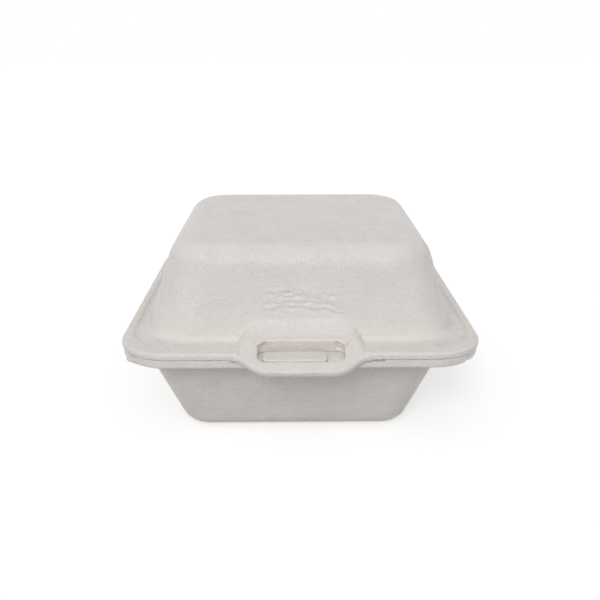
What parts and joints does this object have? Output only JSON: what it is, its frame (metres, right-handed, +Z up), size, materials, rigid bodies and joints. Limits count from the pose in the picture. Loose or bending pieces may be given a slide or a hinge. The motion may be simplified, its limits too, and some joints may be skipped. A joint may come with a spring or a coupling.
{
  "type": "foam clamshell container",
  "caption": "One-portion takeaway food box of pressed foam: square tray and domed lid on a thin fold, closed by a tab whose slot snaps over a tongue",
  "frame": {"origin": "middle of the tray's underside, where the box stands on a table", "axes": "+Z up, -Y the front with the latch, +Y the back with the fold, +X to the right seen from the front"},
  "size_m": [0.1338, 0.1409, 0.0743],
  "materials": {
    "base_tray": "matt white foam with a fine skin",
    "lid": "matt white foam with a fine skin",
    "living_hinge": "foam crushed thin"
  },
  "bodies": {
    "base": {"base_tray": "base_tray", "living_hinge": "living_hinge"},
    "lid": {"lid": "lid"}
  },
  "joints": [
    {"name": "lid_hinge", "type": "hinge", "parent": "base", "child": "lid", "pos_m": [0.0011, 0.068, 0.03818], "axis": [-1, 0, 0], "range_deg": [0, 180], "deforming": ["living_hinge"]}
  ]
}
